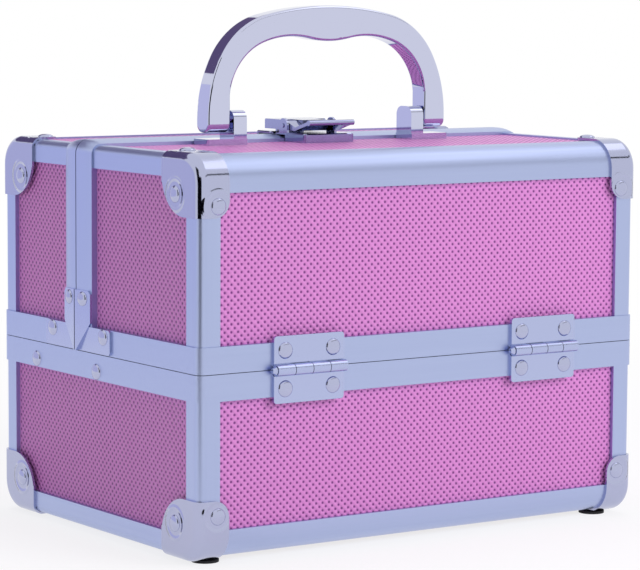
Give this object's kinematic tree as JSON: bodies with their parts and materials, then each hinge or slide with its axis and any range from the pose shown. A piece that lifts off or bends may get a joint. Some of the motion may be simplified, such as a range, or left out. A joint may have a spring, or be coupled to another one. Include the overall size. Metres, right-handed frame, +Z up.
{
  "type": "makeup storage case",
  "caption": "Boxy makeup case with aluminium edges, a lid split in two that opens both ways, swing-out trays, a folding handle and a snap latch.",
  "frame": {"origin": "on the floor, under the middle of the closed case", "axes": "+X along the long faces, +Y from the long face of the larger lid's hinges to the other long face, +Z up"},
  "size_m": [0.2468, 0.1848, 0.2383],
  "materials": {
    "embossed_panel": "satin, embossed with small raised lozenges",
    "aluminium": "satin anodised",
    "cap_metal": "bright plated steel pressing",
    "hardware_metal": "plated steel",
    "latch_metal": "plated steel pressing",
    "chrome": "polished plating on a casting",
    "lining": "black lining",
    "tray_plastic": "black moulded plastic",
    "rubber_foot": "matt black",
    "mirror_glass": "polished glass"
  },
  "bodies": {
    "base": {"base_corner_caps": "cap_metal", "base_corner_posts": "aluminium", "base_end_panels": "embossed_panel", "base_end_rails": "aluminium", "base_feet": "rubber_foot", "base_floor_panel": "embossed_panel", "base_front_panel": "embossed_panel", "base_hinge_leaves": "hardware_metal", "base_liner": "lining", "base_long_rails": "aluminium", "base_rear_panel": "embossed_panel", "base_rim": "aluminium", "base_rivets": "hardware_metal", "hinge_pins": "hardware_metal", "tray_arm_studs": "hardware_metal"},
    "main_lid": {"main_lid_corner_caps": "cap_metal", "main_lid_corner_posts": "aluminium", "main_lid_end_panels": "embossed_panel", "main_lid_end_rails": "aluminium", "main_lid_front_panel": "embossed_panel", "main_lid_front_rail": "aluminium", "main_lid_gussets": "cap_metal", "main_lid_hinge_leaves": "hardware_metal", "main_lid_liner": "lining", "main_lid_rim": "aluminium", "main_lid_rivets": "hardware_metal", "main_lid_top_panel": "embossed_panel", "main_lid_tray_hangers": "hardware_metal", "main_lid_trim": "aluminium", "mirror_glass": "mirror_glass", "mirror_clips": "hardware_metal", "handle_posts": "chrome", "handle_pins": "chrome", "latch_base": "latch_metal", "latch_pin": "latch_metal"},
    "flap_lid": {"flap_lid_corner_caps": "cap_metal", "flap_lid_corner_posts": "aluminium", "flap_lid_end_panels": "embossed_panel", "flap_lid_end_rails": "aluminium", "flap_lid_gussets": "cap_metal", "flap_lid_hinge_leaves": "hardware_metal", "flap_lid_liner": "lining", "flap_lid_rear_panel": "embossed_panel", "flap_lid_rear_rail": "aluminium", "flap_lid_rim": "aluminium", "flap_lid_rivets": "hardware_metal", "flap_lid_top_panel": "embossed_panel", "flap_lid_tray_hangers": "hardware_metal", "flap_lid_trim": "aluminium", "latch_keeper": "latch_metal"},
    "handle": {"handle": "chrome"},
    "latch_lever": {"latch_lever": "latch_metal", "latch_hook_pin": "latch_metal"},
    "latch_hook": {"latch_hook": "latch_metal"},
    "main_tray": {"main_lid_tray": "tray_plastic"},
    "flap_tray": {"flap_lid_tray": "tray_plastic"},
    "main_tray_arms": {"main_lid_tray_arms": "hardware_metal"},
    "flap_tray_arms": {"flap_lid_tray_arms": "hardware_metal"}
  },
  "joints": [
    {"name": "main_lid_hinge", "type": "hinge", "parent": "base", "child": "main_lid", "pos_m": [0, -0.08985, 0.083], "axis": [1, 0, 0], "range_deg": [0, 90]},
    {"name": "flap_lid_hinge", "type": "hinge", "parent": "base", "child": "flap_lid", "pos_m": [0, 0.08985, 0.083], "axis": [-1, 0, 0], "range_deg": [0, 90]},
    {"name": "handle_pivot", "type": "hinge", "parent": "main_lid", "child": "handle", "pos_m": [0, -0.004, 0.187], "axis": [1, 0, 0], "range_deg": [-85, 85]},
    {"name": "latch_lever_pivot", "type": "hinge", "parent": "main_lid", "child": "latch_lever", "pos_m": [-0.003, 0.0045, 0.1826], "axis": [-1, 0, 0], "range_deg": [0, 80]},
    {"name": "latch_hook_pivot", "type": "hinge", "parent": "latch_lever", "child": "latch_hook", "pos_m": [-0.003, 0.0011, 0.1822], "axis": [-1, 0, 0], "range_deg": [-96, 0]},
    {"name": "main_tray_hanger", "type": "hinge", "parent": "main_lid", "child": "main_tray", "pos_m": [0, -0.07285, 0.113], "axis": [1, 0, 0], "range_deg": [-90, 0]},
    {"name": "main_tray_arm_pivot", "type": "hinge", "parent": "base", "child": "main_tray_arms", "pos_m": [0, -0.0006, 0.075], "axis": [1, 0, 0], "range_deg": [0, 90]},
    {"name": "flap_tray_hanger", "type": "hinge", "parent": "flap_lid", "child": "flap_tray", "pos_m": [0, 0.07285, 0.113], "axis": [-1, 0, 0], "range_deg": [-90, 0]},
    {"name": "flap_tray_arm_pivot", "type": "hinge", "parent": "base", "child": "flap_tray_arms", "pos_m": [0, 0.0545, 0.075], "axis": [-1, 0, 0], "range_deg": [0, 90]}
  ],
  "couplings": [
    {"joint": "latch_hook_pivot", "follows": "latch_lever_pivot", "ratio": -1.2},
    {"joint": "main_tray_hanger", "follows": "main_lid_hinge", "ratio": -1},
    {"joint": "main_tray_arm_pivot", "follows": "main_lid_hinge", "ratio": 1},
    {"joint": "flap_tray_hanger", "follows": "flap_lid_hinge", "ratio": -1},
    {"joint": "flap_tray_arm_pivot", "follows": "flap_lid_hinge", "ratio": 1}
  ]
}
